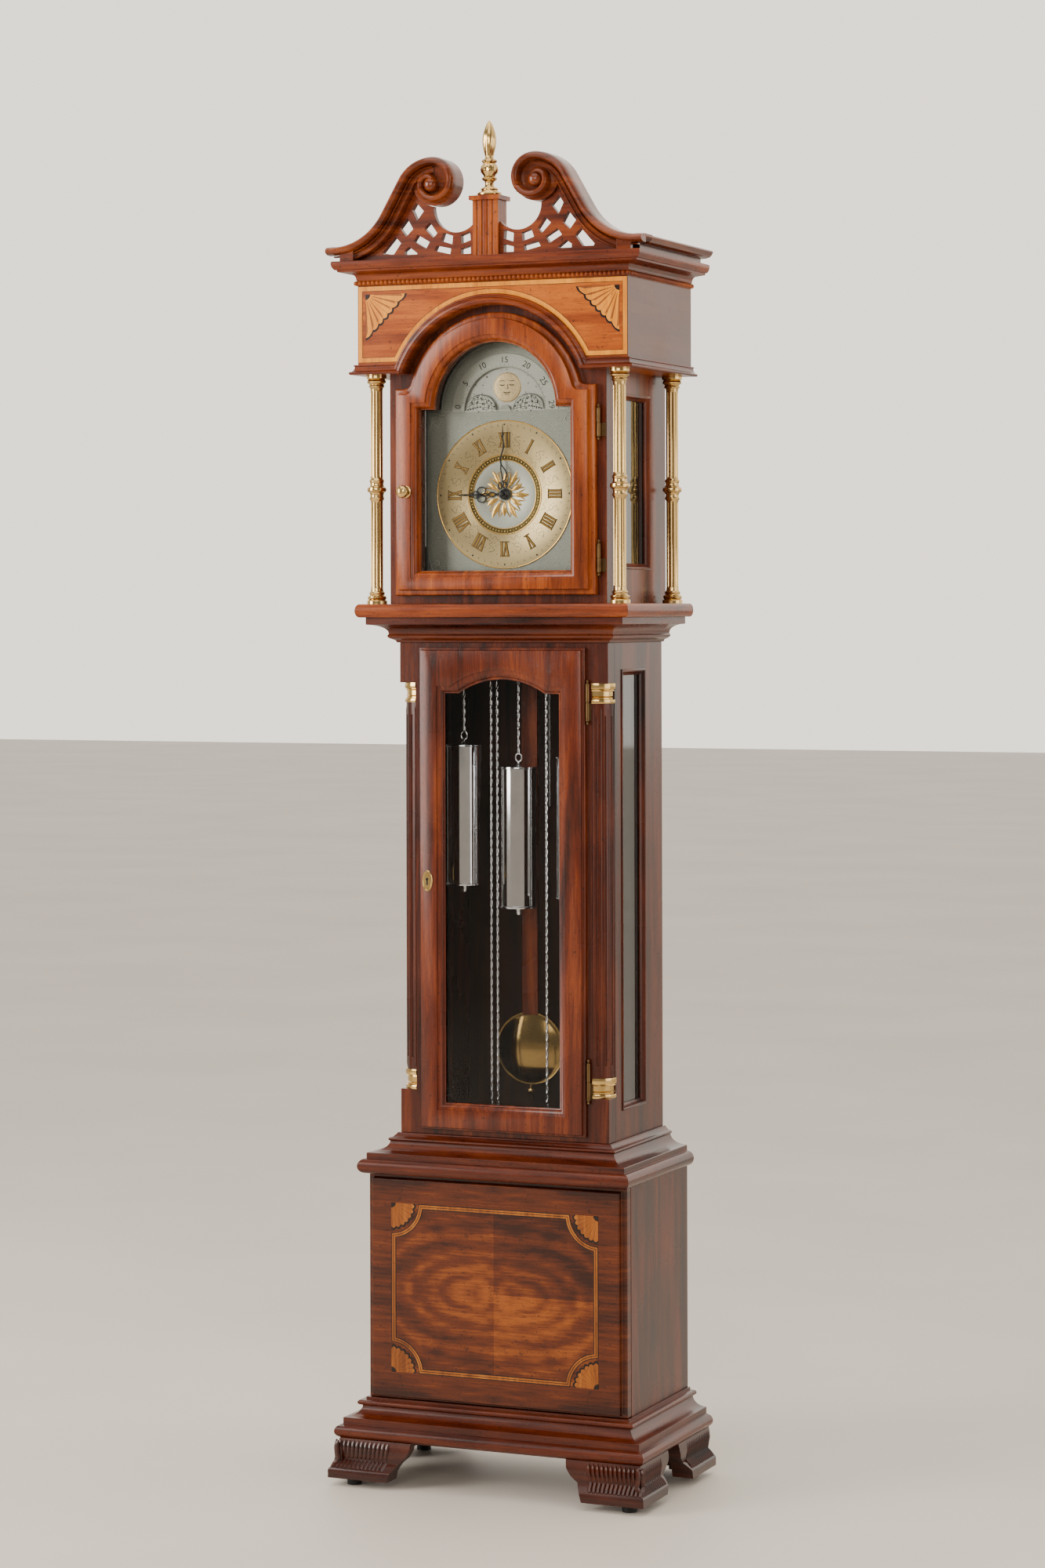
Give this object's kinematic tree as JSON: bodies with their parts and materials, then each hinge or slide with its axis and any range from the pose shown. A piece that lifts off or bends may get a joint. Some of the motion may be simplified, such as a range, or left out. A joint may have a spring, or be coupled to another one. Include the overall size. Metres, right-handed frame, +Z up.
{
  "type": "longcase clock",
  "caption": "Tall free-standing clock: arched hood with swan-neck top and brass columns, glazed waist door over pendulum and chain weights, inlaid base on bracket feet.",
  "frame": {"origin": "centre of the bounding box's bottom face, on the floor", "axes": "+Z up, the clock's front faces -Y, +X to the right seen from the front"},
  "size_m": [0.551, 0.325, 2.1987],
  "materials": {
    "mahogany": "satin lacquer over red-brown mahogany",
    "mahogany_veneer": "satin lacquer over figured mahogany veneer with satinwood lines",
    "pine": "plain board",
    "glass": "clear bevelled glass",
    "brass": "polished brass",
    "steel": "bright steel",
    "steel_dark": "dark steel",
    "black_steel": "black",
    "chrome": "polished",
    "dial_silver": "engraved pewter",
    "dial_gold": "satin gold",
    "moon_blue": "painted night sky"
  },
  "bodies": {
    "case": {"floor_glides": "steel_dark", "bracket_feet": "mahogany", "plinth_moulding": "mahogany", "base_bottom": "pine", "base_front": "mahogany_veneer", "base_sides": "mahogany", "base_top_moulding": "mahogany", "case_back": "pine", "waist_sides": "mahogany", "waist_side_glass": "glass", "waist_front": "mahogany", "corner_columns": "mahogany", "column_rings": "brass", "door_hinges": "brass", "shelf_moulding": "mahogany", "hood_shelf": "mahogany", "hood_front": "mahogany", "hood_sides": "mahogany", "hood_side_glass": "glass", "brass_columns": "brass", "frieze": "mahogany_veneer", "arch_moulding": "mahogany", "cornice": "mahogany", "scroll_left": "mahogany", "scroll_right": "mahogany", "fretwork": "mahogany", "finial_plinth": "mahogany", "finial": "brass", "dial_plate": "dial_silver", "chapter_ring": "dial_gold", "movement_frame": "brass", "seat_board": "pine", "chime_rods": "steel_dark"},
    "waist_door": {"waist_door_frame": "mahogany_veneer", "waist_door_glass": "glass", "waist_door_leaves": "brass"},
    "lock_cam": {"lock_cam": "brass"},
    "hood_door": {"hood_door_frame": "mahogany_veneer", "hood_door_glass": "glass", "hood_door_knob": "brass", "hood_door_leaves": "brass"},
    "pendulum": {"pendulum": "brass"},
    "anchor": {"anchor": "steel"},
    "escape_wheel": {"escape_wheel": "brass"},
    "minute_hand": {"minute_hand": "black_steel"},
    "hour_hand": {"hour_hand": "black_steel"},
    "moon_disc": {"moon_disc": "moon_blue"},
    "chain_wheel_left": {"chain_wheel_left": "brass"},
    "chain_wheel_centre": {"chain_wheel_centre": "brass"},
    "chain_wheel_right": {"chain_wheel_right": "brass"},
    "weight_left": {"weight_left": "chrome", "chain_left": "steel"},
    "weight_centre": {"weight_centre": "chrome", "chain_centre": "steel"},
    "weight_right": {"weight_right": "chrome", "chain_right": "steel"},
    "tail_left": {"tail_left": "steel"},
    "tail_centre": {"tail_centre": "steel"},
    "tail_right": {"tail_right": "steel"},
    "chime_hammers": {"chime_hammers": "brass"}
  },
  "joints": [
    {"name": "waist_door_hinge", "type": "hinge", "parent": "case", "child": "waist_door", "pos_m": [0.1492, -0.0785, 0.964], "axis": [0, 0, 1], "range_deg": [0, 110]},
    {"name": "waist_lock_turn", "type": "hinge", "parent": "waist_door", "child": "lock_cam", "pos_m": [-0.129, -0.0515, 0.9768], "axis": [0, -1, 0], "range_deg": [0, 90]},
    {"name": "hood_door_hinge", "type": "hinge", "parent": "case", "child": "hood_door", "pos_m": [0.1792, -0.1025, 1.605], "axis": [0, 0, 1], "range_deg": [0, 100]},
    {"name": "pendulum_swing", "type": "hinge", "parent": "case", "child": "pendulum", "pos_m": [0, 0.0365, 1.692], "axis": [0, 1, 0], "range_deg": [-2.5, 2.5]},
    {"name": "anchor_rock", "type": "hinge", "parent": "case", "child": "anchor", "pos_m": [0, 0.0125, 1.692], "axis": [0, 1, 0], "range_deg": [-2.5, 2.5]},
    {"name": "minute_turn", "type": "hinge", "parent": "case", "child": "minute_hand", "pos_m": [0, -0.0375, 1.602], "axis": [0, 1, 0], "continuous": true},
    {"name": "hour_turn", "type": "hinge", "parent": "case", "child": "hour_hand", "pos_m": [0, -0.0375, 1.602], "axis": [0, 1, 0], "continuous": true},
    {"name": "moon_turn", "type": "hinge", "parent": "case", "child": "moon_disc", "pos_m": [0, -0.0555, 1.7366], "axis": [0, 1, 0], "continuous": true},
    {"name": "escape_turn", "type": "hinge", "parent": "case", "child": "escape_wheel", "pos_m": [0, -0.0005, 1.662], "axis": [0, 1, 0], "continuous": true},
    {"name": "weight_left_drop", "type": "slide", "parent": "case", "child": "weight_left", "axis": [0, 0, 1], "range_m": [-0.6, 0.16], "deforming": ["chain_left"]},
    {"name": "tail_left_rise", "type": "slide", "parent": "case", "child": "tail_left", "axis": [0, 0, 1], "range_m": [-0.17, 0.61], "deforming": ["tail_left"]},
    {"name": "wheel_left_turn", "type": "hinge", "parent": "case", "child": "chain_wheel_left", "pos_m": [-0.073, -0.0105, 1.56], "axis": [0, 1, 0], "range_deg": [-2000, 2000]},
    {"name": "weight_centre_drop", "type": "slide", "parent": "case", "child": "weight_centre", "axis": [0, 0, 1], "range_m": [-0.6, 0.16], "deforming": ["chain_centre"]},
    {"name": "tail_centre_rise", "type": "slide", "parent": "case", "child": "tail_centre", "axis": [0, 0, 1], "range_m": [-0.17, 0.61], "deforming": ["tail_centre"]},
    {"name": "wheel_centre_turn", "type": "hinge", "parent": "case", "child": "chain_wheel_centre", "pos_m": [-0.019, -0.0105, 1.56], "axis": [0, 1, 0], "range_deg": [-2000, 2000]},
    {"name": "weight_right_drop", "type": "slide", "parent": "case", "child": "weight_right", "axis": [0, 0, 1], "range_m": [-0.6, 0.16], "deforming": ["chain_right"]},
    {"name": "tail_right_rise", "type": "slide", "parent": "case", "child": "tail_right", "axis": [0, 0, 1], "range_m": [-0.17, 0.61], "deforming": ["tail_right"]},
    {"name": "wheel_right_turn", "type": "hinge", "parent": "case", "child": "chain_wheel_right", "pos_m": [0.073, -0.0105, 1.56], "axis": [0, 1, 0], "range_deg": [-2000, 2000]},
    {"name": "hammers_lift", "type": "hinge", "parent": "case", "child": "chime_hammers", "pos_m": [0, 0.0805, 1.492], "axis": [-1, 0, 0], "range_deg": [0, 15]}
  ],
  "couplings": [
    {"joint": "anchor_rock", "follows": "pendulum_swing", "ratio": 1},
    {"joint": "hour_turn", "follows": "minute_turn", "ratio": 0.083333},
    {"joint": "moon_turn", "follows": "minute_turn", "ratio": 0.00070547},
    {"joint": "escape_turn", "follows": "minute_turn", "ratio": 60},
    {"joint": "tail_left_rise", "follows": "weight_left_drop", "ratio": -1},
    {"joint": "wheel_left_turn", "follows": "weight_left_drop", "rad_per_m": 41.667},
    {"joint": "tail_centre_rise", "follows": "weight_centre_drop", "ratio": -1},
    {"joint": "wheel_centre_turn", "follows": "weight_centre_drop", "rad_per_m": -52.632},
    {"joint": "tail_right_rise", "follows": "weight_right_drop", "ratio": -1},
    {"joint": "wheel_right_turn", "follows": "weight_right_drop", "rad_per_m": -41.667}
  ]
}
